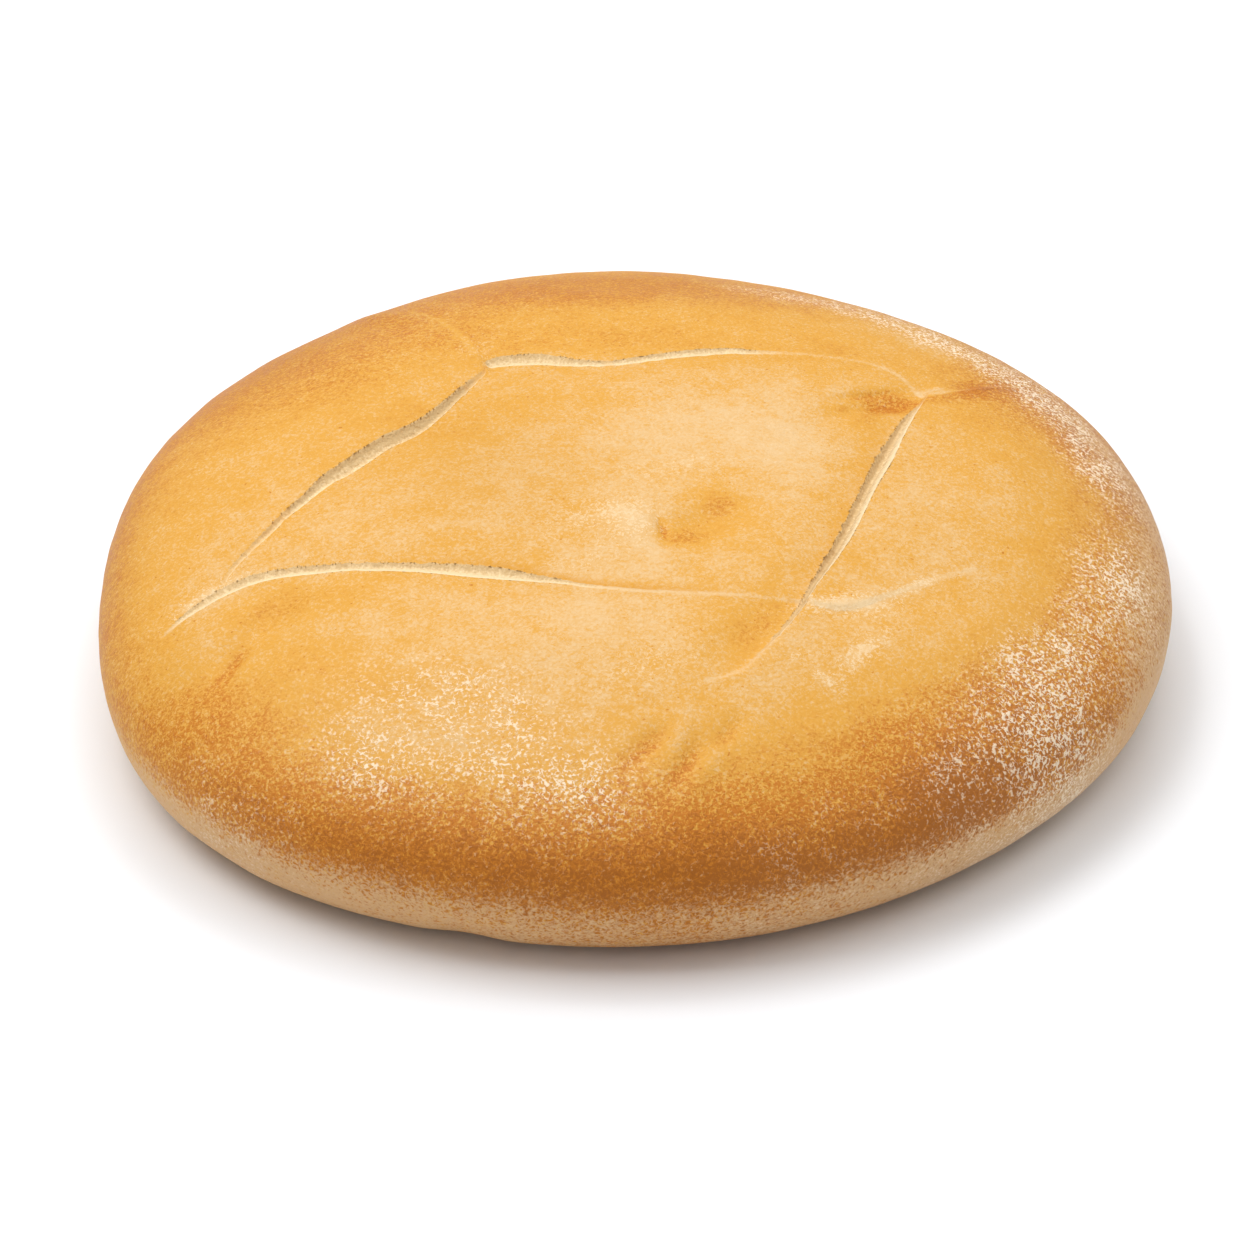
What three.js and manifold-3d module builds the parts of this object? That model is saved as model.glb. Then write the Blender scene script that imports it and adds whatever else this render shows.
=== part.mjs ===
// A round, flat Moroccan loaf (khobz), baked free-standing on a floured tray.
//
// The loaf is one solid. Its crust is a sphere of small triangles pushed out to the loaf's form: a broad
// crown, a bulging rim, a tight roll under the rim and a flat base. Soft dents and ridges are added to the
// crown. Then the four slashes of the baker's blade, which cross as an open square on the crown, are cut out.
//
// Millimetres. +Z is up, the origin is under the middle of the loaf, on the surface that it stands on.
// X runs across the loaf and Y from the edge nearest the viewer to the far edge.
import * as THREE from "three";
import { mergeVertices } from "three/addons/utils/BufferGeometryUtils.js";
import Module from "manifold-3d";

// ---- Driving dimensions ----

const MEAN_RADIUS = 113.4; // of the rim, seen from above
const HEIGHT = 48; // from the base to the top of the crown, before its swellings
const RIM_HEIGHT = 18; // where the side bulges furthest out
const BASE_SHARE = 0.86; // the flat base's radius, as a share of the rim's
const CROWN_POWER = 2.8; // 2 is an ellipse; higher is a flatter crown with rounder shoulders
const CRUST_DETAIL = 19; // splits of each edge of the icosahedron that the crust starts from

// How far the rim's radius departs from a circle: [turns per round, cosine part, sine part].
const RIM_WAVES = [
  [2, -1.4, 1.6],
  [3, 1.4, -0.8],
  [4, -0.5, 0.2],
  [5, 0.1, 0.4],
  [6, -0.5, -0.5],
];

// The slashes, each from its first end to its last: x, y, and how wide the crust has opened there.
// The blade leaned over, so the wall on the left of the way that a slash runs is the steep one.
const SLASHES = {
  left: [
    [-81.5, -37, 0.8],
    [-79.6, -31.4, 0.8],
    [-72.6, -20.6, 1.0],
    [-66.1, -11.2, 2.8],
    [-58.4, -1.6, 4.6],
    [-47.1, 9.8, 4.4],
    [-39.2, 20.1, 3.0],
    [-33.9, 29.7, 2.0],
    [-30.9, 36.5, 1.2],
    [-36.5, 54.2, 0.8],
    [-48, 75, 0.5],
  ],
  front: [
    [-92.5, -45.6, 0.6],
    [-87, -41.9, 1.8],
    [-80, -38.7, 2.8],
    [-70, -37, 3.6],
    [-50, -38.7, 3.6],
    [-30, -42.3, 4.6],
    [-15, -45.9, 2.4],
    [0, -48.8, 1.2],
    [25, -49.8, 0.9],
    [33, -50.4, 0.9],
    [38, -53.3, 2.2],
    [44, -52.8, 2.4],
    [52, -47, 1.4],
    [66, -36, 0.5],
  ],
  right: [
    [15, -74.5, 0.6],
    [24.2, -68, 0.9],
    [30, -59.6, 0.9],
    [34.4, -50, 1.2],
    [38.5, -40, 2.6],
    [48.8, -10, 3.3],
    [52, 0, 3.8],
    [55.2, 10, 3.2],
    [60.7, 25, 1.8],
    [62.3, 29, 1.2],
  ],
  back: [
    [-30.2, 39.2, 2.4],
    [-27, 40.3, 3.8],
    [-20, 40.6, 4.4],
    [-5, 38, 1.9],
    [10, 42.7, 2.6],
    [20, 44.8, 2.4],
    [35, 45.3, 1.0],
    [50, 43.4, 0.8],
    [57, 38.9, 0.8],
    [62.5, 30.6, 1.2],
    [70, 35.3, 1.1],
    [80, 43, 0.9],
    [88, 47, 0.5],
  ],
};
const SLASH_DEPTH = 0.5; // depth of a slash, as a share of its width
const SLASH_KEEL = 0.22; // how far the deepest line lies towards the steep wall, as a share of the width
const SLASH_STEPS = 48; // stations along each slash
const SLASH_OVERSHOOT = 3; // how far the cutting wedge stands out above the crust

// Beside a slash the crust rolls down towards it, and one lip stands higher than the other.
const LIP_SINK = 1.1; // depth of that roll at the slash
const LIP_REACH = 6.5; // how far from the slash it is felt
const LIP_WIDEST = 3; // width of a slash that has its full roll
const LIP_STEPS = { left: 0.5, front: -0.35, right: -0.6, back: 0.2 }; // rise of the steep side's lip

// Soft dents (negative) and swellings of the crown: x, y, reach along and across, turn in degrees, height.
const SWELLINGS = [
  [16, -24, 11, 6, 35, -1.7], // the thumb-print near the middle
  [-1, -23, 9, 8, 0, 0.8], // the dough pushed up on its left
  [53, 26, 9, 4.5, 25, -1.9], // the sunk corner of the middle panel
  [42, 17, 8, 3, 40, -0.7], // the crease that runs on from it
  [-71, -51, 13, 4, 52, -1.5], // the tuck at the near left
  [-82, -52, 9, 6, 52, 0.9], // the fold beside it
  [-55, 40, 30, 16, 50, 1.0], // the far left field
  [5, 66, 36, 12, 0, 0.9], // the far field
  [78, 2, 15, 26, 0, 1.0], // the right field
  [-20, -66, 34, 12, 0, 1.1], // the near field
  [27, -60, 9, 5, 60, -1.0], // the hollow under the near right crossing
  [66, -58, 16, 10, 40, 0.8], // the near right shoulder
  [-55, 76, 12, 4, 125, 0.7], // the ridge where the left slash runs out at the far edge
];

// A run of short, shallow wrinkles on the near shoulder: where it starts, and the step from each to the next.
const WRINKLES = { count: 5, from: [-4, -88], step: [6.4, 1.6] };
const WRINKLE_SHAPE = [8, 1.9, 57, -0.75]; // reach along and across, turn and height, as above

// A small pinch low on the side, where the dough folded on the tray: direction, spread in degrees and depth.
const PINCH = { direction: -107, spread: 3.2, depth: 1.4, top: 13 };

// ---- The form of the crust ----

// The rim's radius in a direction seen from above.
function rimRadius(direction) {
  const wave = ([turns, cosinePart, sinePart]) =>
    cosinePart * Math.cos(turns * direction) + sinePart * Math.sin(turns * direction);
  return RIM_WAVES.reduce((sum, terms) => sum + wave(terms), MEAN_RADIUS);
}

// A smooth bump, 1 at its middle, for a point in the bump's own turned frame.
function bump(x, y, [centreX, centreY, along, across, turn]) {
  const angle = THREE.MathUtils.degToRad(turn);
  const [dx, dy] = [x - centreX, y - centreY];
  const u = (dx * Math.cos(angle) + dy * Math.sin(angle)) / along;
  const v = (dy * Math.cos(angle) - dx * Math.sin(angle)) / across;
  return Math.exp(-(u * u + v * v));
}

const wrinkles = Array.from({ length: WRINKLES.count }, (_, i) => [
  WRINKLES.from[0] + i * WRINKLES.step[0],
  WRINKLES.from[1] + i * WRINKLES.step[1],
  ...WRINKLE_SHAPE,
]);

// Each slash as stations: the place, the width there, and the way to its steep side.
function slashStations(points) {
  const curve = new THREE.CatmullRomCurve3(points.map((point) => new THREE.Vector3(...point)));
  return Array.from({ length: SLASH_STEPS + 1 }, (_, i) => {
    const { x, y, z: width } = curve.getPoint(i / SLASH_STEPS);
    const along = curve.getTangent(i / SLASH_STEPS);
    const length = Math.hypot(along.x, along.y);
    return { x, y, width, left: [-along.y / length, along.x / length] };
  });
}

const slashes = Object.entries(SLASHES).map(([name, points]) => ({
  stations: slashStations(points),
  step: LIP_STEPS[name],
}));

// The roll of the crust beside one slash, at its nearest station.
function lip(x, y, { stations, step }) {
  const offset = (s) => Math.hypot(x - s.x, y - s.y);
  const nearest = stations.reduce((best, s) => (offset(s) < offset(best) ? s : best));
  const toSteepSide = (x - nearest.x) * nearest.left[0] + (y - nearest.y) * nearest.left[1];
  const felt = Math.exp(-((offset(nearest) / LIP_REACH) ** 2)) * Math.min(1, nearest.width / LIP_WIDEST);
  return felt * (step * Math.tanh(toSteepSide) - LIP_SINK);
}

// Height of the crown above a point, before the slashes are cut.
function crownHeight(x, y) {
  const share = Math.min(1, Math.hypot(x, y) / rimRadius(Math.atan2(y, x)));
  const dome = Math.sqrt(1 - share ** CROWN_POWER);
  const relief =
    [...SWELLINGS, ...wrinkles].reduce((sum, s) => sum + s[5] * bump(x, y, s), 0) +
    slashes.reduce((sum, slash) => sum + lip(x, y, slash), 0);
  return RIM_HEIGHT + (HEIGHT - RIM_HEIGHT) * dome + relief * Math.min(1, 2 * dome);
}

// The crust's point for a direction of the unit sphere.
function crustPoint({ x, y, z }) {
  const direction = Math.atan2(y, x);
  const rim = rimRadius(direction);
  if (z >= 0) {
    const out = rim * Math.sqrt(1 - z * z) ** (2 / CROWN_POWER);
    const [px, py] = [out * Math.cos(direction), out * Math.sin(direction)];
    return [px, py, crownHeight(px, py)];
  }
  const base = BASE_SHARE * rim;
  const fall = Math.acos(-z) / (Math.PI / 2); // 1 at the rim, 0 under the middle
  if (fall <= 0.5) {
    const out = 2 * fall * base;
    return [out * Math.cos(direction), out * Math.sin(direction), 0];
  }
  const roll = (1 - fall) * Math.PI;
  const height = RIM_HEIGHT * (1 - Math.sin(roll));
  const aside = THREE.MathUtils.radToDeg(direction) - PINCH.direction;
  const pinch = PINCH.depth * Math.exp(-((aside / PINCH.spread) ** 2)) * Math.max(0, 1 - height / PINCH.top);
  const out = base + (rim - base) * Math.cos(roll) - pinch;
  return [out * Math.cos(direction), out * Math.sin(direction), height];
}

// ---- Solids ----

const wasm = await Module();
wasm.setup();

// A geometry as a closed solid, with the vertices that its faces share made one.
function solidOf(geometry) {
  geometry.deleteAttribute("normal");
  geometry.deleteAttribute("uv");
  const merged = mergeVertices(geometry, 1e-4);
  return new wasm.Manifold(
    new wasm.Mesh({
      numProp: 3,
      vertProperties: merged.attributes.position.array,
      triVerts: new Uint32Array(merged.index.array),
    }),
  );
}

function geometryOf(solid) {
  const { numProp, numVert, vertProperties, triVerts } = solid.getMesh();
  const positions = new Float32Array(numVert * 3);
  for (let i = 0; i < numVert; i++) {
    positions.set(vertProperties.subarray(i * numProp, i * numProp + 3), i * 3);
  }
  const geometry = new THREE.BufferGeometry();
  geometry.setAttribute("position", new THREE.BufferAttribute(positions, 3));
  geometry.setIndex(new THREE.BufferAttribute(triVerts, 1));
  return geometry;
}

function crust() {
  const sphere = new THREE.IcosahedronGeometry(1, CRUST_DETAIL);
  const points = sphere.attributes.position;
  const direction = new THREE.Vector3();
  for (let i = 0; i < points.count; i++) {
    points.setXYZ(i, ...crustPoint(direction.fromBufferAttribute(points, i).normalize()));
  }
  return solidOf(sphere);
}

// The wedge that a slash takes out: at each station its keel in the crumb and its two edges above the crust.
function slashWedge({ stations }) {
  const positions = stations.flatMap(({ x, y, width, left }) => {
    const [top, keel, depth] = [crownHeight(x, y), SLASH_KEEL * width, SLASH_DEPTH * width];
    const rise = (depth + SLASH_OVERSHOOT) / depth; // the walls run on past the lips at the same slope
    const across = (offset, height) => [x + offset * left[0], y + offset * left[1], top + height];
    return [
      ...across(keel, -depth),
      ...across(keel + (width / 2 - keel) * rise, SLASH_OVERSHOOT),
      ...across(keel - (width / 2 + keel) * rise, SLASH_OVERSHOOT),
    ];
  });
  const faces = [0, 2, 1];
  for (let i = 0; i < stations.length - 1; i++) {
    for (let side = 0; side < 3; side++) {
      const [a, b] = [3 * i + side, 3 * i + ((side + 1) % 3)];
      faces.push(a, b, b + 3, a, b + 3, a + 3);
    }
  }
  const last = 3 * (stations.length - 1);
  faces.push(last, last + 1, last + 2);
  const geometry = new THREE.BufferGeometry();
  geometry.setAttribute("position", new THREE.BufferAttribute(new Float32Array(positions), 3));
  geometry.setIndex(faces);
  return solidOf(geometry);
}

function loafGeometry() {
  const cut = slashes.reduce((solid, slash) => solid.subtract(slashWedge(slash)), crust());
  const geometry = geometryOf(cut);
  geometry.computeBoundingBox();
  const middle = geometry.boundingBox.getCenter(new THREE.Vector3());
  return geometry.translate(-middle.x, -middle.y, 0);
}

// ---- The loaf ----

const crustFinish = new THREE.MeshStandardMaterial({ color: 0xdca052, roughness: 0.62, metalness: 0 });

const loaf = new THREE.Mesh(loafGeometry(), crustFinish);
loaf.name = "loaf";

const root = new THREE.Group();
root.add(loaf);
export default root;
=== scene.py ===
# %% [markdown]
# # A Moroccan loaf
#
# This notebook dresses a khobz, the round flat loaf of a Moroccan table. The solid loaf is already
# made, and it is loaded here as a fixed frame: it says how wide, deep and high the bread is. We
# build the crust again in far finer mesh, open the baker's slashes in it, bake its colours, dust it
# with flour, and set it on a pale studio floor.

# %% Load the solid loaf and read its size
import math

import bmesh
import bpy
import numpy as np
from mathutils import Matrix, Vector, noise


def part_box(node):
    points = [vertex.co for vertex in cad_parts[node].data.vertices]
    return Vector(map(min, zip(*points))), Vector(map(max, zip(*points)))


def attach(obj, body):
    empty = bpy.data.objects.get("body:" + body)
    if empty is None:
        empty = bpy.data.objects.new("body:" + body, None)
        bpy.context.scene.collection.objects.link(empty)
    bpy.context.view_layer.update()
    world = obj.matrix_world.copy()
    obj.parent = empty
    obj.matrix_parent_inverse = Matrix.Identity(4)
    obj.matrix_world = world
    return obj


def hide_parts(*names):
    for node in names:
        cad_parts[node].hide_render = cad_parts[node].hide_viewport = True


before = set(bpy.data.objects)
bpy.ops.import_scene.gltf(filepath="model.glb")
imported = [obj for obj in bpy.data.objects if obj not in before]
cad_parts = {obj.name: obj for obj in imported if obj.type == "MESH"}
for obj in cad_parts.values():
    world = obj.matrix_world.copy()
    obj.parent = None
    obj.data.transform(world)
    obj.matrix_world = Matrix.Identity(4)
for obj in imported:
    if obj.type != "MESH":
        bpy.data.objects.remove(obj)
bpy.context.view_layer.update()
low_corner, high_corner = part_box("loaf")
print("loaf, mm:", [round(1000 * side) for side in high_corner - low_corner])

# %% [markdown]
# ## The form of the loaf
#
# Blender works in metres, but a baker thinks of a loaf in millimetres, so every size below is in
# millimetres of a loaf 222 mm wide. One number, METRES, turns them into metres of the real frame.
# If the solid is ever made larger, the crust grows with it.
#
# Seen from above, the rim is a circle with a few slow waves. It could be drawn through many points,
# but a few waves are easier to tune and can never leave a kink. Each wave has its turns round the
# loaf, its cosine part and its sine part.

# %% Driving sizes of the loaf, in millimetres
DRAWN_WIDTH = 222
METRES = (high_corner.x - low_corner.x) / DRAWN_WIDTH
MEAN_RADIUS = 113.4
HEIGHT = 48
RIM_HEIGHT = 18
BASE_SHARE = 0.86
CROWN_POWER = 2.8
RIM_WAVES = [(2, -1.4, 1.6), (3, 1.4, -0.8), (4, -0.5, 0.2), (5, 0.1, 0.4), (6, -0.5, -0.5)]


def rim_radius(direction):
    """The rim's radius in a direction seen from above: a circle with a few slow waves."""
    return MEAN_RADIUS + sum(
        cosine * np.cos(turns * direction) + sine * np.sin(turns * direction)
        for turns, cosine, sine in RIM_WAVES
    )


print("metres per drawn millimetre:", round(METRES, 6))

# %% [markdown]
# ## The slashes
#
# Before baking, the baker draws a blade across the dough four times, so that the crown opens along
# an open square. Each slash is a path seen from above, with the width of the gap at each point.
# The points are joined by a smooth curve, and each place on the crust then asks two things: how far
# along the nearest slash am I, and how far to its side?

# %% Paths of the slashes: x, y and the gap's width
SLASHES = {
    "left": [
        (-81.5, -35.7, 1), (-79.6, -30.7, 1.3), (-72.6, -20.4, 1.4), (-70, -15.9, 1.5),
        (-66.1, -10.4, 1.9), (-61.7, -3.8, 3.1), (-58.4, -0.7, 4), (-51.2, 7.7, 4),
        (-47.1, 10.6, 3.9), (-43.5, 14.2, 3.2), (-39.2, 20.8, 2.3), (-33.9, 30.3, 1.6),
        (-30.9, 36.6, 1), (-32.2, 41.8, 0.6), (-36.5, 53.5, 0.5), (-42.7, 66.6, 0.4),
        (-48, 74.6, 0.1),
    ],
    "front": [
        (-92.5, -45.5, 0.5), (-87, -41.2, 2.4), (-80, -37.4, 4), (-73, -35.8, 4.1), (-59, -36.4, 3.4),
        (-50, -37.8, 3.6), (-40, -39.4, 4.1), (-30, -41.4, 4.9), (-22, -43.3, 4), (-15, -45.3, 2.2),
        (-8, -47.4, 1.3), (0, -48.7, 0.9), (12, -49.5, 0.7), (25, -49.5, 0.6), (33, -49.5, 0.6),
        (36.5, -51.4, 1), (40, -52, 1.1), (44, -51.1, 1.1), (51, -46.5, 0.9), (60, -40.2, 0.6),
        (68, -35.1, 0.1),
    ],
    "right": [
        (15, -74.6, 0.2), (20.7, -71.9, 0.6), (24.2, -67.5, 0.9), (30, -58.3, 1.5), (34.4, -49.3, 1.7),
        (36.4, -44.2, 2), (38.5, -39.2, 2.6), (43.2, -27.2, 3.2), (48.8, -9.1, 3.3), (52, 0.8, 3.9),
        (55.2, 10.8, 3.1), (58.6, 20.8, 2.4), (60.7, 26.6, 1.6), (62.3, 30.2, 0.8),
    ],
    "back": [
        (-30.2, 40, 2.4), (-27, 41.2, 4), (-20, 41.4, 4.7), (-15, 40.3, 3.6), (-10, 39, 2.3),
        (-5, 38.6, 1.7), (0, 39.9, 2.1), (10, 43.4, 2.6), (20, 45.5, 2.5), (26, 45.4, 1.6),
        (35, 45.4, 0.7), (50, 43.5, 0.4), (57, 39, 0.4), (62.5, 31.4, 0.9), (70, 35.3, 0.8),
        (80, 43.1, 0.6), (88, 47, 0.1),
    ],
}
STATIONS_A_MM = 2
STEPS_A_POINT = 40


def smooth_path(points):
    """A Catmull-Rom curve through the points, as evenly spaced stations of x, y and width."""
    points = np.array(points, float)
    ends = 2 * points[[0, -1]] - points[[1, -2]]
    knots = np.vstack([ends[:1], points, ends[1:]])
    t = np.linspace(0, 1, STEPS_A_POINT, endpoint=False)[:, None]
    pieces = []
    for a, b, c, d in zip(knots, knots[1:], knots[2:], knots[3:]):
        square = 2 * a - 5 * b + 4 * c - d
        cube = 3 * b - a - 3 * c + d
        pieces.append(b + 0.5 * ((c - a) * t + square * t**2 + cube * t**3))
    dense = np.vstack([*pieces, points[-1:]])
    run = np.concatenate([[0], np.cumsum(np.hypot(*np.diff(dense[:, :2], axis=0).T))])
    even = np.linspace(0, run[-1], int(run[-1] * STATIONS_A_MM))
    return np.column_stack([np.interp(even, run, column) for column in dense.T])


paths = {name: smooth_path(points) for name, points in SLASHES.items()}
print("slash lengths, mm:", {name: round(len(path) / STATIONS_A_MM) for name, path in paths.items()})

# %% [markdown]
# ### Torn lips
#
# A torn edge is never a ruled line. The blade leaves the near lip clean, while the far lip tears a
# little in and out. We let a noise move the far lip, so that the opening looks torn.

# %% How a place on the crust lies to a slash
RAGGED_NEAR = 0.12
RAGGED_FAR = 0.42
RAGGED_SIZE = 2.1
FELT_TO = 9
NARROWEST = 0.1
PLACES_AT_ONCE = 5000
FIRST_SEED = 3
SEED_STEP = 7


def heading(path):
    """The direction of a path at each of its stations, as steps one long."""
    run = np.gradient(path[:, :2], axis=0)
    return run / np.hypot(*run.T)[:, None]


def beside(path, seed, x, y):
    """Distance to a slash, way along it, and depth past its near lip and its far lip, all in mm."""
    run = heading(path)
    nearest = np.empty(len(x), int)
    for start in range(0, len(x), PLACES_AT_ONCE):
        part = slice(start, start + PLACES_AT_ONCE)
        reach = (x[part, None] - path[:, 0]) ** 2 + (y[part, None] - path[:, 1]) ** 2
        nearest[part] = reach.argmin(axis=1)
    station, ahead = path[nearest], run[nearest]
    dx, dy = x - station[:, 0], y - station[:, 1]
    along = nearest / STATIONS_A_MM + dx * ahead[:, 0] + dy * ahead[:, 1]
    left = dy * ahead[:, 0] - dx * ahead[:, 1]
    beyond = np.maximum(np.maximum(-along, along - len(path) / STATIONS_A_MM), 0)
    half = np.maximum(station[:, 2], NARROWEST) / 2 - beyond
    distance = np.hypot(left, beyond)
    near, far = half + left, half - left
    for i in np.flatnonzero(distance < FELT_TO):
        place = Vector((along[i] / RAGGED_SIZE, seed, 0))
        near[i] += RAGGED_NEAR * noise.noise(place)
        far[i] += RAGGED_FAR * min(1, half[i]) * noise.fractal(place, 1, 2, 3)
    return distance, along, near, far


def beside_all(x, y):
    """How places lie to every slash, each of which tears by a noise of its own."""
    return {
        name: beside(path, FIRST_SEED + SEED_STEP * i, x, y)
        for i, (name, path) in enumerate(paths.items())
    }


print("far lip tears by up to, mm:", RAGGED_FAR)

# %% [markdown]
# ## The crown's relief
#
# The crown isn't a plain dome. The dough was pressed with a thumb, one corner of it sank, it swelled
# in fields between the slashes, and it folded and wrinkled at the near edge. Sculpting could make
# these too, but soft bumps that are added up stay easy to move. Each has its middle, its half length
# and half width, the angle that it's turned by, and its height.
#
# Beside a slash, the crust rolls down to the gap, and in places one lip stands higher than the other.

# %% Swellings, dents and folds of the crown
SWELLINGS = {
    "thumb-print": [
        (16, -24, 11, 6, 35, -1.7), (-1, -23, 9, 8, 0, 0.8), (6.6, -27.5, 3.6, 0.9, 100, -0.8),
    ],
    "sunken corner": [
        (53, 26, 9, 4.5, 25, -1.9), (50, 29, 8, 1.0, 25, -0.6), (42, 17, 8, 3, 40, -0.7),
    ],
    "tuck": [
        (-71, -51, 13, 4, 52, -1.5), (-77, -60, 4, 1.2, 60, -0.7), (-82, -52, 9, 6, 52, 0.9),
    ],
    "fields": [
        (-55, 40, 30, 16, 50, 1.0), (5, 66, 36, 12, 0, 0.9), (78, 2, 15, 26, 0, 1.0),
        (-20, -66, 34, 12, 0, 1.1), (66, -58, 16, 10, 40, 0.8), (-55, 76, 12, 4, 125, 0.7),
    ],
    "where slashes cross": [
        (23, -60, 10, 5, 60, -0.9), (44, -49, 10, 2.5, 25, 0.35),
    ],
}
WRINKLES = [
    (3.4, -90, 7, 1.8, 51, -1.0),
    (10.7, -93.3, 6.5, 1.6, 60, -1.0),
    (18.7, -86.3, 4.5, 1.6, 58, -0.9),
    (4.2, -81, 2.5, 1.3, 120, -0.6),
    (9.6, -87.5, 6.5, 1.6, 84, 0.5),
    (15, -94.5, 5.5, 1.6, 60, 0.5),
]
LIP_SINK = 0.6
LIP_REACH = 6.5
LIP_WIDEST = 3
LIP_CRISPNESS = 1.2
RELIEF_FULL_AT = 0.5
STEPS_ALONG = {
    "left": [(8, 0), (16, 0.5), (80, 0.5), (95, 0)],
    "front": [(0, 0), (15, -0.35), (75, -0.35), (95, 0), (125, 0), (130, 0.3), (140, 0.3), (160, 0)],
    "right": [(0, 0), (8, -0.5), (40, -0.8), (60, -0.6), (105, -0.6)],
    "back": [(0, 0.2), (60, 0.2), (85, 0), (105, 0), (112, -0.4), (125, -0.4), (140, 0)],
}


def bump(x, y, middle_x, middle_y, along, across, turn, height):
    """A soft bump of the crust, in its own turned frame."""
    turn = math.radians(turn)
    dx, dy = x - middle_x, y - middle_y
    u = (dx * math.cos(turn) + dy * math.sin(turn)) / along
    v = (dy * math.cos(turn) - dx * math.sin(turn)) / across
    return height * np.exp(-(u * u + v * v))


def bumps(x, y, listed):
    """Many soft bumps, added up."""
    return sum(bump(x, y, *one) for one in listed)


def bumps_of(x, y, groups):
    """The soft bumps of several named groups, added up."""
    return sum(bumps(x, y, listed) for listed in groups.values())


def read_off(table, at):
    """Values read off a short table of places and values, straight between its rows."""
    return np.interp(at, *zip(*table))


def crown_height(x, y, lies):
    """Height of the crown above places seen from above, before the gaps are opened."""
    share = np.minimum(1, np.hypot(x, y) / rim_radius(np.arctan2(y, x)))
    dome = np.sqrt(1 - share**CROWN_POWER)
    relief = bumps_of(x, y, SWELLINGS) + bumps(x, y, WRINKLES)
    for name, (distance, along, near, far) in lies.items():
        felt = np.exp(-((distance / LIP_REACH) ** 2))
        step = read_off(STEPS_ALONG[name], along) * np.tanh((near - far) / LIP_CRISPNESS)
        relief += felt * (step - LIP_SINK * np.clip((near + far) / LIP_WIDEST, 0, 1))
    return RIM_HEIGHT + (HEIGHT - RIM_HEIGHT) * dome + relief * np.minimum(1, dome / RELIEF_FULL_AT)


print("groups of swellings:", len(SWELLINGS), "and wrinkles:", len(WRINKLES))

# %% [markdown]
# ## The crust as a mesh
#
# A sphere of even triangles is the best start for a bread: it has no poles that pinch. We make an
# icosphere, cut its triangles smaller where a slash or a fold will pass, and only then push every
# point out to the loaf's form. Working on the sphere first keeps the fine triangles even.
#
# Each round of cuts reaches less far outside the gaps than the one before. The fine spots are the
# thumb-print, the sunken corner and the tuck, each with its radius and its number of rounds.

# %% The sphere that the crust starts from
FINE_MARGINS = [1.6, 1.2, 0.35]
FINE_SPOTS = [(8, -26, 14, 1), (7, -28, 6, 2), (51, 27, 10, 2), (-77, -60, 6, 2)]


def unit_points(mesh):
    """The mesh's points, drawn onto a sphere of radius one."""
    points = np.array([v.co for v in mesh.verts])
    return points / np.linalg.norm(points, axis=1)[:, None]


def plan_of(points):
    """Where each point of the unit sphere's upper half lands, seen from above."""
    direction = np.arctan2(points[:, 1], points[:, 0])
    out = rim_radius(direction) * np.hypot(points[:, 0], points[:, 1]) ** (2 / CROWN_POWER)
    return out * np.cos(direction), out * np.sin(direction)


dough = bmesh.new()
bmesh.ops.create_icosphere(dough, subdivisions=7, radius=1)
for level, margin in enumerate(FINE_MARGINS):
    points = unit_points(dough)
    x, y = plan_of(points)
    fine = np.zeros(len(points), bool)
    for distance, along, near, far in beside_all(x, y).values():
        fine |= np.minimum(near, far) > -margin
    for spot_x, spot_y, radius, levels in FINE_SPOTS:
        fine |= (np.hypot(x - spot_x, y - spot_y) < radius) & (level < levels)
    fine &= points[:, 2] > 0
    dough.verts.ensure_lookup_table()
    edges = [e for e in dough.edges if fine[e.verts[0].index] or fine[e.verts[1].index]]
    bmesh.ops.subdivide_edges(dough, edges=edges, cuts=1, use_grid_fill=True)
    bmesh.ops.triangulate(dough, faces=[f for f in dough.faces if len(f.verts) > 3])
    print("round", level + 1, "of cuts, faces:", len(dough.faces))

# %% [markdown]
# ## Open the slashes
#
# In a cut, the crust stops at a clean near lip, the crumb slopes down from it, and a steep torn wall
# climbs back up to the far lip. We work out how far each point lies past both lips, and sink it by
# that profile. Points close to a lip are first drawn onto it, so that the edge comes out crisp.

# %% Where every point of the sphere's upper half lies to the gaps
LIP_DRAW = 0.2
WIDE_GAP = 1.5

points = unit_points(dough)
up = points[:, 2] >= 0
x, y = plan_of(points)
for name, (distance, along, near, far) in beside_all(x, y).items():
    close = np.flatnonzero((np.minimum(abs(near), abs(far)) < LIP_DRAW) & (near + far > WIDE_GAP))
    station = np.clip((along[close] * STATIONS_A_MM).astype(int), 0, len(paths[name]) - 1)
    ahead = heading(paths[name])[station]
    shift = np.where(abs(near[close]) < abs(far[close]), -near[close], far[close])
    x[close] -= ahead[:, 1] * shift
    y[close] += ahead[:, 0] * shift

lies = beside_all(x, y)
crown = crown_height(x, y, lies)
print("points in a gap:", int(sum((np.minimum(near, far) > 0).sum() for _, _, near, far in lies.values())))

# %% [markdown]
# ### How deep the gaps are
#
# A wide gap is a deep one, and a closed slit has no depth at all. So each slash has a short table of
# its depth for each millimetre of its width, and the profile across the gap is the same for all. We
# keep where each point lies in its gap, because the crumb's colours will ask for it.

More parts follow.
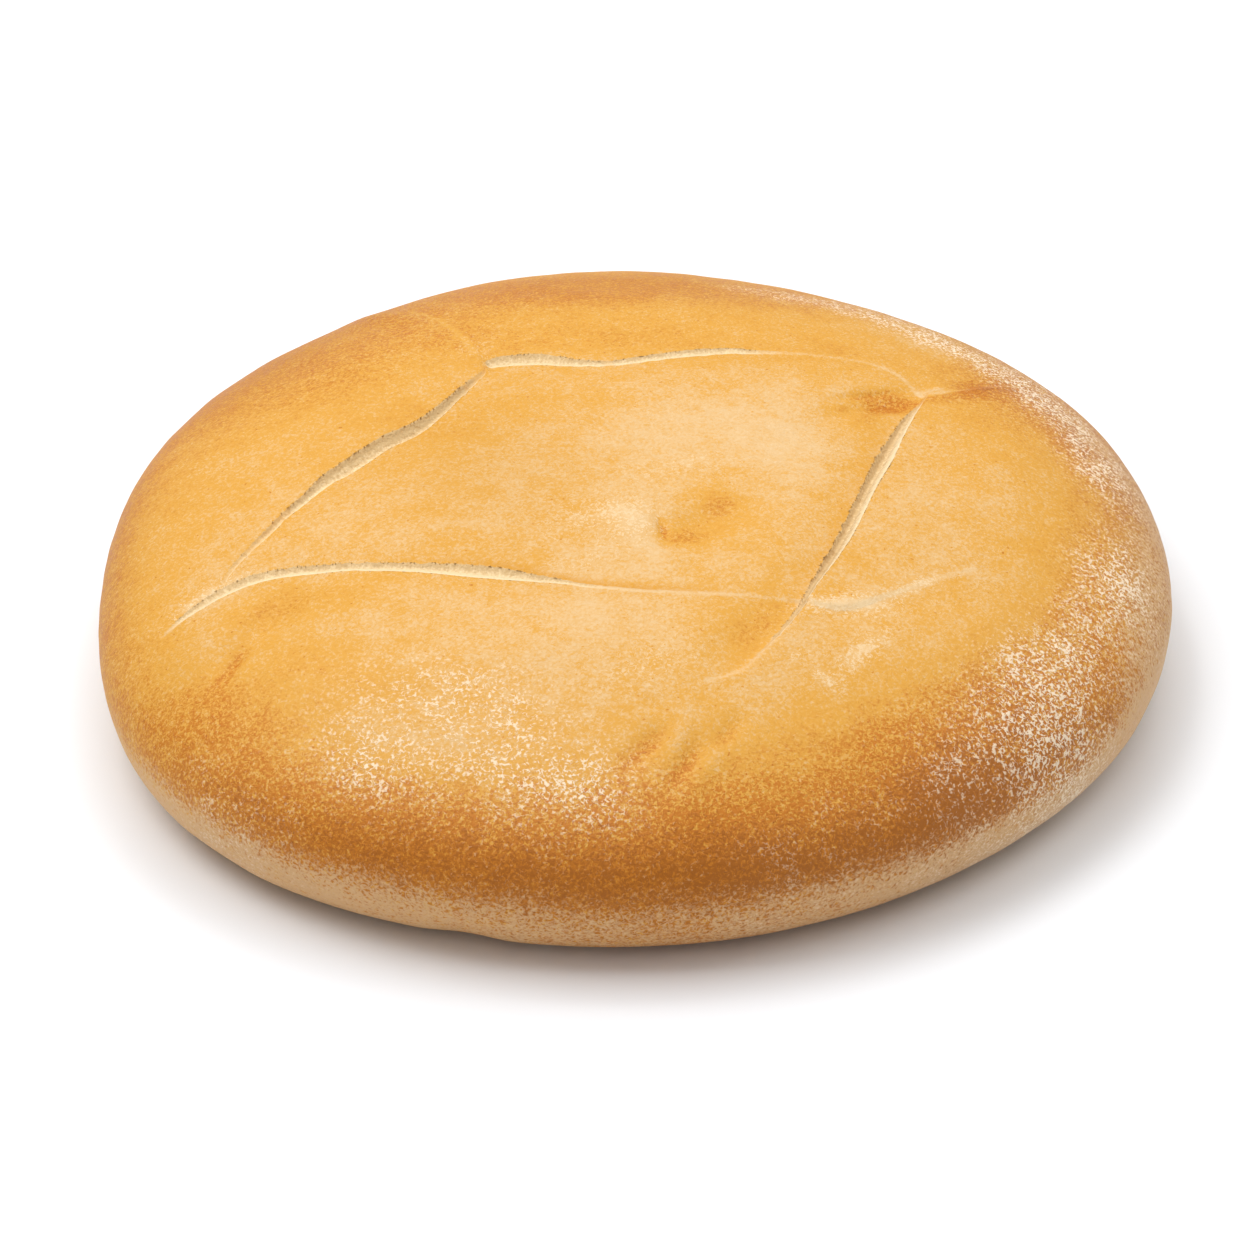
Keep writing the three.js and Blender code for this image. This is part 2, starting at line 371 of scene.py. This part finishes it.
# %% Sink the gaps
GAP_DEPTHS = {
    "left": [(0, 0.34)],
    "front": [(100, 0.16), (125, 0)],
    "right": [(10, 0), (30, 0.3), (45, 0.36)],
    "back": [(0, 0.17)],
}
SLIT_WIDTHS = [0.8, 1.7]
CRUMB_WIDTHS = [0.7, 1.8]
GAP_SHARES = [0, 0.1, 0.5, 0.75, 1]
GAP_PROFILE = [0, 0.35, 1, 0.8, 0]
TORN_ALONG = {
    "left": [(20, 0.2), (50, 0.3), (75, 1), (95, 1)],
    "front": [(0, 0), (90, 0), (110, 0.4), (126, -0.4)],
    "right": [(0, 1), (35, 1), (60, 0.4), (90, 0.3)],
    "back": [(0, 0.2), (40, 0)],
}
OUTSIDE = -50.0

inside = np.full(len(x), OUTSIDE)
across = np.zeros(len(x))
way = np.zeros(len(x))
open_here = np.zeros(len(x))
torn = np.zeros(len(x))
drop = np.zeros(len(x))
for name, (distance, along, near, far) in lies.items():
    depth_in = np.minimum(near, far)
    width = np.maximum(near + far, NARROWEST)
    share = np.clip(near / width, 0, 1)
    deep = read_off(GAP_DEPTHS[name], along) * width * np.interp(width, SLIT_WIDTHS, [0, 1])
    sunk = np.interp(share, GAP_SHARES, GAP_PROFILE) * deep
    drop = np.maximum(drop, np.where(depth_in > 0, sunk, 0))
    deeper = depth_in > inside
    across = np.where(deeper, share, across)
    way = np.where(deeper, along, way)
    open_here = np.where(deeper, np.interp(width, CRUMB_WIDTHS, [0, 1]), open_here)
    torn = np.where(deeper, read_off(TORN_ALONG[name], along), torn)
    inside = np.where(deeper, depth_in, inside)

print("deepest gap, mm:", round(drop.max(), 2))

# %% [markdown]
# ### Rough crumb
#
# Crumb that was pulled apart is rough. A noise lifts and sinks it by a tenth of a millimetre, and
# fades out towards the lips, so that they stay whole.

# %% Roughen the crumb
CRUMB_ROUGH = 0.1
CRUMB_SIZE = 0.9
ROUGHER_INWARDS = 2
ROUGHER_DOWNWARDS = 3

in_gap = np.flatnonzero(up & (inside > 0))
for i in in_gap:
    place = Vector((x[i], y[i], 0)) / CRUMB_SIZE
    share = min(1, ROUGHER_INWARDS * inside[i], ROUGHER_DOWNWARDS * drop[i])
    drop[i] += CRUMB_ROUGH * share * noise.fractal(place, 0.8, 2, 3)
print("points of crumb:", len(in_gap))

# %% [markdown]
# ## Push the sphere out to the loaf
#
# The upper half becomes the crown. The lower half rolls under the rim in a quarter round and ends in
# the flat base that the loaf was baked on. Low on the front, the dough has one small pinch. To place
# a point of the lower half, we ask how far it is from the middle of the base, at nought, to the rim,
# at one: the base takes the first half of that way and the side the second.

# %% Side and base
PINCH_DIRECTION = -107
PINCH_SPREAD = 3.2
PINCH_DEPTH = 1.4
PINCH_TOP = 13

direction = np.arctan2(points[:, 1], points[:, 0])
rim = rim_radius(direction)
to_rim = np.arccos(np.clip(-points[:, 2], -1, 1)) / (math.pi / 2)
on_side = to_rim > 0.5
roll = (1 - to_rim) * math.pi
side_height = RIM_HEIGHT * (1 - np.sin(roll))
aside = (np.degrees(direction) - PINCH_DIRECTION + 180) % 360 - 180
pinch = PINCH_DEPTH * np.exp(-((aside / PINCH_SPREAD) ** 2)) * np.maximum(0, 1 - side_height / PINCH_TOP)
side_out = BASE_SHARE * rim + (1 - BASE_SHARE) * rim * np.cos(roll) - pinch
base_out = 2 * to_rim * BASE_SHARE * rim
low_out = np.where(on_side, side_out, base_out)

places = np.column_stack([
    np.where(up, x, low_out * np.cos(direction)),
    np.where(up, y, low_out * np.sin(direction)),
    np.where(up, crown - drop, np.where(on_side, side_height, 0)),
])
middle = (places.max(axis=0) + places.min(axis=0)) / 2
middle[2] = 0
print("middle of the outline, mm:", middle.round(2))

# %% [markdown]
# ### The skin's slow waves
#
# A loaf out of the oven is never quite smooth. Two slow noises move the skin in and out by a few
# tenths of a millimetre. A bump in the material could only shade such waves, but moved points show
# at the outline too. The noises die away towards the base, which stays flat.

# %% Wave the skin
SKIN_WAVES = [(14, 0.22), (5, 0.09)]
WAVES_FULL_AT = 4

bulge = np.zeros(len(places))
for i in np.flatnonzero(up | on_side):
    bulge[i] = sum(depth * noise.noise(Vector(places[i]) / size) for size, depth in SKIN_WAVES)
bulge *= np.where(up, 1, np.clip(side_height / WAVES_FULL_AT, 0, 1))
places += points * bulge[:, None]
print("skin moves by up to, mm:", round(abs(bulge).max(), 2))

# %% [markdown]
# ### Make the crust a piece
#
# The points are final, so the bmesh becomes a mesh, shaded smooth. The piece rides on the loaf's one body
# and stands for the plain solid, which is hidden.

# %% The crust as an object
def as_object(name, shape):
    """Turn a bmesh into an object of the scene."""
    mesh = bpy.data.meshes.new(name)
    shape.to_mesh(mesh)
    shape.free()
    piece = bpy.data.objects.new(name, mesh)
    bpy.context.collection.objects.link(piece)
    return piece


for vertex, place in zip(dough.verts, (places - middle) * METRES):
    vertex.co = place
bread = as_object("bread_crust", dough)
crust_mesh = bread.data
crust_mesh.shade_smooth()
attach(bread, "root")
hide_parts("loaf")
print("triangles of the crust:", len(crust_mesh.polygons))

# %% [markdown]
# ## Where the oven browned it
#
# An oven bakes the shoulder of a loaf darkest, because it stands out into the heat, and leaves the middle
# paler. We work out one number for each point: minus one is pale, nought is gold and one is brown. The
# shoulder's share depends on its height, and on the side that faced the heat; low on the shoulder it is
# raised further, partly as painted shade where less light reaches. Soft bumps of the same kind as the
# crown's then brown some fields and pale others. Some of them are painted shade: they brown the dents of
# the thumb-print, the sunken corner, the tuck and the crossing of two slashes, where shade falls. The
# folds are browned in their grooves and paled on their ridges, as painted shade and light.

# %% The bake of every point
# Browning by height; the peak low on the shoulder is partly painted shade, where less light reaches.
SHOULDER_AND_SHADE_BY_HEIGHT = [(14, 0.9), (20, 1.25), (24, 1.35), (29, 0.95), (34, 0.42), (39, 0.1), (43, 0)]
SHOULDER_BY_DIRECTION = [
    (-180, 0.5), (-150, 0.4), (-135, 0.6), (-120, 0.95), (-90, 1.1), (-75, 1.25),
    (-58, 1.2), (-42, 0.75), (-15, 0.45), (15, 0.7), (90, 0.5), (180, 0.5),
]
CROWN_BAKE = -0.4
SHOULDER_BAKE = 1.4
WRINKLE_PAINTED_SHADING = 0.6
BAKES = {
    "far shoulder": [
        (-64, 48, 36, 24, 50, 0.8), (-86, 54, 26, 11, 53, 0.5), (-92, 8, 28, 11, 90, 0.15),
        (-5, 82, 62, 18, 0, 1.1), (-5, 50, 34, 11, 0, 0.4), (44, 45, 24, 11, 0, 0.35),
    ],
    "right shoulder": [
        (76, 30, 22, 18, 90, 0.45), (92, -10, 26, 9, 80, 0.3), (86, 40, 22, 13, 120, 0.4),
        (92, -40, 30, 12, 70, 0.4), (95, 25, 26, 9, 110, 0.35),
    ],
    "near right shoulder": [
        (58, -80, 24, 11, 40, 0.5), (72, -68, 12, 10, 50, 0.4), (61, -88, 9, 7, 45, 0.4),
        (14, -102, 20, 8, 4, 0.25), (38, -101, 17, 8, 18, -0.35),
    ],
    "middle of the crown": [
        (-38, 14, 20, 12, 20, 0.4), (15, 8, 26, 15, 20, -0.38), (2, -25, 7, 11, 0, -0.4),
        (34, 0, 9, 16, 0, -0.25), (0, -36, 12, 8, 0, -0.2),
    ],
    # Painted shade, with some real bake: browner in the thumb-print's dent and its crease.
    "thumb-print": [
        (10, -30, 5, 3.6, 0, 0.75), (18.5, -18, 5, 4, 0, 0.6), (16, -26, 9, 9, 0, 0.3),
        (6.6, -27.5, 3.2, 0.8, 100, 0.9),
    ],
    # Painted shade, with some real bake: browner in the sunken corner and below the step beside it.
    "sunken corner": [
        (55, 27, 6.5, 3.5, 20, 1.2), (50, 29, 8, 1.2, 25, 0.5), (49, 19, 9, 3, 60, 0.5),
        (44, 22, 5, 1.4, 40, 0.5), (49, 8, 12, 2, 75, 0.4), (74, 37, 9, 3, 42, 1.0),
        (64, 33.5, 4, 1.3, 20, -0.8),
    ],
    "near left": [
        (-82, -38, 7, 4, 20, -0.45), (-66, -46, 22, 6, 8, 0.45), (-60, -66, 20, 8, -25, 0.25),
        # The first of these browns the tuck's crease: painted shade.
        (-77, -60, 4, 1.6, 60, 0.6), (-86, -55, 7, 7, 40, -0.3), (-78, -72, 16, 7, -40, 0.35),
    ],
    "near field": [
        # The last of these browns the dent where two slashes cross: painted shade.
        (-15, -54, 20, 7, 0, -0.15), (-5, -66, 14, 9, 0, -0.25), (25, -58, 10, 4.5, 60, 0.6),
        (-38, -88, 18, 7, -15, -0.3),
    ],
}
SEAM_TONES = {
    "left": [(0, 0.5), (85, 0.5), (100, -0.4)],
    "front": [(0, -0.5), (200, -0.5)],
    "right": [(0, -0.4), (30, -0.4), (45, 0)],
    "back": [(0, -0.4), (140, -0.6)],
}
SEAM_REACH = 0.7

px, py, pz = places.T
turned = np.degrees(np.arctan2(py, px))
shoulder = read_off(SHOULDER_AND_SHADE_BY_HEIGHT, pz) * read_off(SHOULDER_BY_DIRECTION, turned)
bake = CROWN_BAKE + SHOULDER_BAKE * shoulder + bumps_of(px, py, BAKES)
# Painted shade and light on the folds: their grooves browned, their ridges paled.
bake -= WRINKLE_PAINTED_SHADING * bumps(px, py, WRINKLES)
for name, (distance, along, near, far) in lies.items():
    seam = np.exp(-((distance / SEAM_REACH) ** 2))
    bake += np.where(up, read_off(SEAM_TONES[name], along) * seam, 0)
print("bake from", round(bake.min(), 2), "to", round(bake.max(), 2))

# %% [markdown]
# ## The tan band and the flour
#
# Below the rim, the crust lay close to the floured baking stone, and stayed pale and tan. Dry flour stuck
# where the dough had been rolled in it, mostly on the right and along the near rim. On the near left the
# flour is laid on thickly, partly as a painted sheen on that shoulder. Both could be painted by hand, but
# two more numbers for each point can be read and changed.

# %% Where it stayed tan, and where flour stuck
TAN_BY_HEIGHT = [(10, 1), (15, 0.85), (19, 0.4), (23, 0)]
TAN_BY_DIRECTION = [
    (-180, 0.4), (-155, 0.6), (-135, 1), (-105, 0.7), (-88, 0.5), (-70, 0.75), (-50, 1),
    (-10, 0.9), (60, 0.8), (150, 0.6), (180, 0.4),
]
TANNED = [(105, -25, 45, 8, 80, 0.7), (99, 32, 28, 7, 115, 0.6)]
FLOURED = {
    "right": [
        (99, -24, 17, 11, 80, 1.0), (99, 16, 17, 10, 100, 1.0), (88, 44, 18, 10, 120, 1.0),
        (64, 68, 25, 10, 140, 1.0), (34, 82, 18, 7, 160, 0.7),
    ],
    "near right": [
        (77, -67, 21, 13, 55, 0.9), (87, -48, 14, 10, 65, 0.5), (88, -73, 16, 8, 50, 0.4),
        (60, -87, 12, 8, 45, 0.4),
    ],
    "near rim": [
        (42, -99, 13, 6, 20, 0.35), (26, -107, 12, 5, 10, 0.3), (-5, -100, 12, 9, 0, 0.45),
        (-22, -97, 20, 11, -8, 0.6),
    ],
    # Flour on the near left, partly a painted sheen on that shoulder.
    "near left": [
        (-52, -90, 13, 8, -30, 0.65), (-34, -78, 28, 12, -15, 0.7), (-78, -86, 18, 5, -43, 0.45),
    ],
}
FLOUR_AT_BAND = 0.12
BAND_HEIGHT = 12
BAND_SPREAD = 5

tan = read_off(TAN_BY_HEIGHT, pz) * read_off(TAN_BY_DIRECTION, turned)
tan = np.minimum(1, tan + bumps(px, py, TANNED))
band = np.exp(-(((pz - BAND_HEIGHT) / BAND_SPREAD) ** 2))
flour = bumps_of(px, py, FLOURED) + FLOUR_AT_BAND * band
print("most flour:", round(flour.max(), 2))

# %% [markdown]
# ## Scuffs, painted shade and yellow edges
#
# Three small things make the crust less even. Where the skin was rubbed or creased, cream smears show.
# Some fields of the crown and the rims are darkened with painted shade where they turn from the light,
# together with some deeper bake. And on the far side of two slashes, the crust shows a darker yellow band
# where it rolls down into the gap: partly young crust that stretched, partly painted shade on that slope.
# Each such edge has its start and its end along the slash, its reach and its strength.

# %% Scuffs, painted shade and yellow edges
SCUFFS = [
    (45, -63.5, 8, 2.8, 52, 1.2), (38, -72.5, 4.5, 1.6, -40, 1.0), (33, -66, 4, 1.4, 20, 0.6),
    (42, -50.6, 9, 2.6, 8, 1.4), (56, -43, 10, 2, 36, 0.9), (0, -26, 6, 8, 0, 0.85),
    (-8, -24, 11, 7, 20, 0.6), (8, -5, 14, 5, 20, 0.45), (-10, -40, 9, 3, 10, 0.5),
    (-33, 47, 5, 8, 0, 0.5), (-84, -37, 9, 2.8, 28, 1.1), (3, -72, 12, 5, 20, 0.5),
]
# Painted shade: these bumps darken fields of the crown and the rims, where they turn from the light.
PAINTED_SHADES = [
    (-28, -5, 22, 32, 20, 0.1), (0, 92, 95, 20, 0, 0.14), (-78, 60, 40, 16, 50, 0.2),
    (-108, 5, 40, 8, 90, 0.12), (72, 72, 30, 12, 140, 0.2), (95, 40, 30, 10, 115, 0.18),
    (108, -8, 45, 8, 88, 0.24),
]
# The yellow band on each far lip: partly crust that stretched, partly painted shade where the crust rolls
# down into the gap.
STRETCHED_AND_SHADED_EDGES = {"front": (45, 118, 1.6, 0.9), "right": (25, 110, 1.8, 0.4)}
YELLOW_EDGE_COMES = 25
YELLOW_EDGE_GOES = 20

yellow = np.zeros(len(px))
for name, (start, end, reach, most) in STRETCHED_AND_SHADED_EDGES.items():
    distance, along, near, far = lies[name]
    stops = [start, start + YELLOW_EDGE_COMES, end - YELLOW_EDGE_GOES, end]
    lasts = np.interp(along, stops, [0, 1, 1, 0])
    yellow += np.where(up & (far < 0), most * lasts * np.exp(-((far / reach) ** 2)), 0)
print("points of stretched crust:", int((yellow > 0).sum()))

# %% [markdown]
# ## Hand the numbers to the material
#
# A mesh can keep named numbers for its points, and a material can read them. A picture wrapped round
# the loaf could do the same, but would need to be unwrapped and would blur. The last number says how
# rough the skin's grain is: flour makes it coarser.

# %% Store the numbers in the mesh
SMOOTH_SHARE = 0.5
ROUGH_SHARE = 0.6

numbers = {
    "gap_inside": np.where(up, inside, OUTSIDE),
    "gap_across": across,
    "gap_along": way,
    "gap_open": open_here,
    "gap_torn": torn,
    "bake": bake,
    "tan": tan,
    "flour": flour,
    # painted shade of some fields, as a share
    "painted_shade": bumps(px, py, PAINTED_SHADES),
    "yellow": yellow,
    "scuffed": bumps(px, py, SCUFFS),
    "rough": SMOOTH_SHARE + ROUGH_SHARE * np.minimum(1, flour),
}
for name, values in numbers.items():
    layer = crust_mesh.attributes.new(name, "FLOAT", "POINT")
    layer.data.foreach_set("value", np.asarray(values, np.float32))
print("numbers stored for each point:", len(numbers))

# %% [markdown]
# ## The crust's material
#
# All the crust's colours live in one material, so that they can run into each other as on a real
# loaf. A few small helpers keep the recipe readable: each of them adds one node and hands back its
# output. Sizes are given in millimetres, and read from the object's own coordinates.

# %% Helpers that write the material
crust = bpy.data.materials.new("baked_crust")
crust.use_nodes = True
recipe = crust.node_tree
crust_mesh.materials.append(crust)
place_on_loaf = recipe.nodes.new("ShaderNodeTexCoord").outputs["Object"]


def fill(socket, term):
    """Set a socket to a plain value, or join it to another node's output."""
    if isinstance(term, bpy.types.NodeSocket):
        recipe.links.new(term, socket)
    else:
        socket.default_value = term


def stored(name):
    """A number that the mesh keeps for each point."""
    reader = recipe.nodes.new("ShaderNodeAttribute")
    reader.attribute_name = name
    return reader.outputs["Fac"]


def reckon(operation, *terms):
    """One step of arithmetic."""
    step = recipe.nodes.new("ShaderNodeMath")
    step.operation = operation
    for socket, term in zip(step.inputs, terms):
        fill(socket, term)
    return step.outputs[0]


def total(*terms):
    """The sum of weighted parts, each given as (value, weight)."""
    result = 0.0
    for value, weight in terms:
        result = reckon("MULTIPLY_ADD", value, weight, result)
    return result


def rise(value, low, high):
    """Nought below low, one above high, and a soft slope between them."""
    slope = recipe.nodes.new("ShaderNodeMapRange")
    slope.interpolation_type = "SMOOTHSTEP"
    fill(slope.inputs["Value"], value)
    fill(slope.inputs["From Min"], low)
    fill(slope.inputs["From Max"], high)
    return slope.outputs["Result"]


def grain(size, detail=1.0, warp=0.0, at=place_on_loaf):
    """A noise from nought to one, whose lumps are about size millimetres wide."""
    texture = recipe.nodes.new("ShaderNodeTexNoise")
    fill(texture.inputs["Vector"], at)
    fill(texture.inputs["Scale"], 1 / (size * METRES))
    fill(texture.inputs["Detail"], detail)
    fill(texture.inputs["Distortion"], warp)
    return texture.outputs[0]


def paint(share, under, over):
    """Lay one colour over another, by a share."""
    layer = recipe.nodes.new("ShaderNodeMix")
    layer.data_type = "RGBA"
    fill(layer.inputs[0], share)
    fill(layer.inputs[6], under)
    fill(layer.inputs[7], over)
    return layer.outputs[2]


print("helpers ready")

# %% [markdown]
# ### From cream to deep brown
#
# The baked colour is a scale: cream at minus two, pale at minus one, gold at nought, brown at one and deep
# brown at two; the deep brown low on the shoulder is partly painted shade. Each place starts from its
# stored bake. Noises from the size of a coin down to a grain then move it up and down the scale, which
# gives the mottled look of a real crust. Thin pale wisps run over it, the browned shoulder has a coarser
# grain, and a few freckles are darker.

# %% Tone of the bake
MOTTLES = [(22, 0.6), (6, 0.8), (1.8, 0.45)]
MIDDLE_OF_TONE = 1.36
MIDDLE_OF_COARSE = 1.38

skin_grain = grain(0.75, detail=2, warp=0.6)
loops = reckon("ABSOLUTE", reckon("SUBTRACT", grain(0.95, detail=1, warp=1.0), 0.5))
broken = grain(0.7, detail=0.5)
wisps = rise(total((loops, -1.0), (broken, 0.25)), 0.05, 0.12)
freckles = rise(grain(0.8, detail=0), 0.80, 0.86)
browned = rise(stored("bake"), -0.3, 0.6)

mottling = [(grain(size, detail=2), weight) for size, weight in MOTTLES]
tone = total((stored("bake"), 1.0), *mottling, (skin_grain, 1.1))
tone = reckon("SUBTRACT", tone, MIDDLE_OF_TONE)
coarse = total((skin_grain, 2.2), (wisps, -0.9), (grain(2.4, detail=3), 1.0))
coarse = reckon("MULTIPLY", reckon("SUBTRACT", coarse, MIDDLE_OF_COARSE), stored("rough"))
tone = reckon("MULTIPLY_ADD", coarse, browned, tone)
tone = reckon("MULTIPLY_ADD", wisps, -0.35, tone)
tone = reckon("MULTIPLY_ADD", freckles, 0.9, tone)
print("nodes so far:", len(recipe.nodes))

# %% [markdown]
# ### Colours on the scale
#
# Five colours make the scale. A colour ramp could hold them, but one soft step from each to the next lets
# us keep brown from turning red. The yellow of the stretched and shaded edges, the cream smears of the
# scuffs and the painted shade over some fields are laid over them.

# %% Baked colour
CREAM = (0.80, 0.63, 0.42, 1)
PALE = (0.71, 0.47, 0.225, 1)
GOLD = (0.675, 0.335, 0.05, 1)
BROWN = (0.53, 0.175, 0.014, 1)
# Deep brown is reached low on the shoulder, partly as painted shade.
DEEP_BROWN_AND_SHADE = (0.38, 0.118, 0.011, 1)
YELLOW = (0.62, 0.27, 0.015, 1)
SCUFFED = (0.78, 0.58, 0.34, 1)
PAINTED_SHADE_BROWN = (0.28, 0.13, 0.02, 1)

smears = total((stored("scuffed"), 0.6), (grain(3.5, detail=3), 0.5), (wisps, 0.4), (skin_grain, 0.9))
smears = rise(smears, 1.1, 1.65)
baked = paint(rise(tone, -2, -1), CREAM, PALE)
baked = paint(rise(tone, -1, 0), baked, GOLD)
baked = paint(rise(tone, 0, 1), baked, BROWN)
baked = paint(rise(tone, 1, 2), baked, DEEP_BROWN_AND_SHADE)
# Yellow band on the far lips: stretched crust and painted shade.
baked = paint(reckon("MULTIPLY", stored("yellow"), 0.8), baked, YELLOW)
baked = paint(reckon("MULTIPLY", smears, 0.8), baked, SCUFFED)
# Painted shade over some fields of the crown and the rims.
baked = paint(stored("painted_shade"), baked, PAINTED_SHADE_BROWN)
print("nodes so far:", len(recipe.nodes))

# %% [markdown]
# ### The tan band and the flour
#
# Flour isn't an even coat. It catches on the grain of the skin in short worm-like specks, gathers
# in drifts, and leaves a faint haze between them. The same specks break up the edge of the tan band.

# %% Tan band and flour
TAN = (0.68, 0.43, 0.21, 1)
FLOUR = (0.91, 0.75, 0.56, 1)

drifts = grain(7, detail=2)
winding = reckon("ABSOLUTE", reckon("SUBTRACT", grain(0.9, detail=0.5, warp=0.7), 0.5))
dust_lines = total((winding, -1.0), (broken, 0.28), (drifts, 0.15))
tan_share = rise(total((stored("tan"), 0.4), (dust_lines, 1.0)), 0.2, 0.46)
dressed = paint(reckon("MULTIPLY", tan_share, 0.85), baked, TAN)

floured = total((stored("flour"), 0.1), (dust_lines, 1.0), (1.0, 0.03))
flour_grains = reckon("MULTIPLY", rise(floured, 0.25, 0.33), rise(stored("flour"), 0.0, 1.0))
dressed = paint(reckon("MULTIPLY", stored("flour"), 0.04), dressed, FLOUR)
dressed = paint(reckon("MULTIPLY", flour_grains, 0.95), dressed, FLOUR)
print("nodes so far:", len(recipe.nodes))

# %% [markdown]
# ### The crumb in the slashes
#
# Where the crust tore, the cream crumb shows. It's streaked across the gap, because it was pulled apart,
# and it's darker up the torn wall. Its pits are darkened as painted shade, and a paler line along the near
# lip is painted light.

# %% Crumb
CRUMB = (0.79, 0.60, 0.35, 1)
TORN = (0.60, 0.41, 0.20, 1)
FLECK_AND_PIT_SHADE = (0.52, 0.30, 0.11, 1)
LIT_EDGE = (0.88, 0.74, 0.50, 1)

streak_place = recipe.nodes.new("ShaderNodeCombineXYZ")
fill(streak_place.inputs["X"], reckon("MULTIPLY", stored("gap_along"), METRES))
fill(streak_place.inputs["Y"], reckon("MULTIPLY", stored("gap_across"), 1.2 * METRES))
streaks = grain(0.7, detail=2, warp=0.4, at=streak_place.outputs["Vector"])
crumbs = grain(0.55, detail=1)
torn_share = total((stored("gap_across"), 1.0), (stored("gap_torn"), 0.7), (streaks, 0.9), (crumbs, 0.9))
crumb = paint(rise(torn_share, 1.25, 1.95), CRUMB, TORN)
# Painted shade in the crumb's pits, as dark flecks; they also sink a little in the relief.
pits_and_flecks = rise(total((grain(0.9, detail=1), 1.0), (stored("gap_across"), 0.12)), 0.64, 0.76)
pit_shade_share = reckon("MULTIPLY", pits_and_flecks, reckon("MULTIPLY_ADD", stored("gap_torn"), 0.5, 0.15))
crumb = paint(pit_shade_share, crumb, FLECK_AND_PIT_SHADE)
crumb = paint(reckon("MULTIPLY", rise(stored("gap_across"), 0.25, 0.05), 0.7), crumb, LIT_EDGE)
lip_edge = total((stored("gap_inside"), 1.0), (grain(0.5, detail=1), 0.3))
opened = reckon("MULTIPLY", rise(lip_edge, 0.08, 0.26), stored("gap_open"))
surface = paint(opened, dressed, crumb)
print("nodes so far:", len(recipe.nodes))

# %% [markdown]
# ### Skin, shine and fine relief
#
# The skin is softly matt. The browned shoulder keeps a little shine, flour and crumb have none. The
# relief is only for grain too fine to model: hundredths of a millimetre of worm-like skin, the small
# thickness of the flour, and the pits of the crumb.

# %% Finish of the crust
skin = recipe.nodes["Principled BSDF"]
fill(skin.inputs["Base Color"], surface)
shine = rise(tone, -0.2, 1.0)
dull = reckon("MAXIMUM", flour_grains, opened)
roughness = total((shine, -0.16), (dull, 0.3))
fill(skin.inputs["Roughness"], reckon("ADD", roughness, 0.6))
fill(skin.inputs["Specular IOR Level"], 0.16)

rough_skin = reckon("MULTIPLY", skin_grain, reckon("MULTIPLY_ADD", browned, 0.1, 0.16))
crust_relief = total((rough_skin, 1.0), (flour_grains, 0.06), (wisps, 0.015))
crumb_relief = total((pits_and_flecks, -0.05), (streaks, 0.14), (crumbs, 0.2))
relief = recipe.nodes.new("ShaderNodeMix")
fill(relief.inputs[0], opened)
fill(relief.inputs[2], crust_relief)
fill(relief.inputs[3], crumb_relief)
fine_relief = recipe.nodes.new("ShaderNodeBump")
fill(fine_relief.inputs["Height"], relief.outputs[0])
fill(fine_relief.inputs["Distance"], METRES)
fill(skin.inputs["Normal"], fine_relief.outputs["Normal"])
print("nodes in the recipe:", len(recipe.nodes))

# %% [markdown]
# ## The studio
#
# The loaf stands on a wide sheet of white paper. One flat square is enough for it, so large that its
# edges never come into view.

# %% Floor
FLOOR_SIZE = 6
floor_sheet = bmesh.new()
bmesh.ops.create_grid(floor_sheet, x_segments=1, y_segments=1, size=FLOOR_SIZE / 2)
floor = as_object("floor", floor_sheet)
paper = bpy.data.materials.new("white_floor")
paper.use_nodes = True
paper_skin = paper.node_tree.nodes["Principled BSDF"]
paper_skin.inputs["Base Color"].default_value = (0.87, 0.885, 0.91, 1)
paper_skin.inputs["Roughness"].default_value = 1
paper_skin.inputs["Specular IOR Level"].default_value = 0
floor.data.materials.append(paper)
print("floor, m:", FLOOR_SIZE)

# %% [markdown]
# ### Light
#
# Four soft boxes hang over the loaf: a strong one on the left, one behind, a weaker one on the right
# and a faint one in front. Large lamps give soft shadows. Together with a little light from all
# around, they leave the pale shadow that falls to the right.

# %% Light
scene = bpy.context.scene
scene.view_settings.view_transform = "Standard"
world = bpy.data.worlds.new("studio")
scene.world = world
world.use_nodes = True
world.node_tree.nodes["Background"].inputs["Color"].default_value = (1, 1, 1, 1)
world.node_tree.nodes["Background"].inputs["Strength"].default_value = 0.35

SOFTBOX_SIDE = 0.8
SOFTBOXES = {
    "softbox_left": ((-0.6, 0, 1.1), 8.6),
    "softbox_back": ((0, 0.6, 1.1), 6.0),
    "softbox_right": ((0.6, 0, 1.1), 3.6),
    "softbox_front": ((0, -0.6, 1.1), 1.8),
}
for name, (place, watts) in SOFTBOXES.items():
    lamp = bpy.data.lights.new(name, "AREA")
    lamp.shape = "SQUARE"
    lamp.size = SOFTBOX_SIDE
    lamp.energy = watts
    softbox = bpy.data.objects.new(name, lamp)
    softbox.location = place
    softbox.rotation_euler = (-Vector(place)).to_track_quat("-Z", "Y").to_euler()
    bpy.context.collection.objects.link(softbox)
print("soft boxes:", len(SOFTBOXES))

# %% [markdown]
# ## The camera
#
# The camera looks down on the loaf by a little over a third of a right angle, from a little under a
# metre, with a long lens, as in a catalogue picture. Its distance and aim are in the loaf's
# millimetres too.

# %% Camera
LOOKS_DOWN_BY = 33.5
DISTANCE = 880
AIM = Vector((-2.06, -23.27, 20))
SENSOR_WIDTH = 36
LENS = 123.7

elevation = math.radians(LOOKS_DOWN_BY)
camera_data = bpy.data.cameras.new("camera")
camera_data.sensor_width = SENSOR_WIDTH
camera_data.lens = LENS
camera = bpy.data.objects.new("camera", camera_data)
camera.location = (AIM + DISTANCE * Vector((0, -math.cos(elevation), math.sin(elevation)))) * METRES
camera.rotation_euler = (math.pi / 2 - elevation, 0, 0)
bpy.context.collection.objects.link(camera)
scene.camera = camera
print("camera stands at, mm:", [round(1000 * side) for side in camera.location])
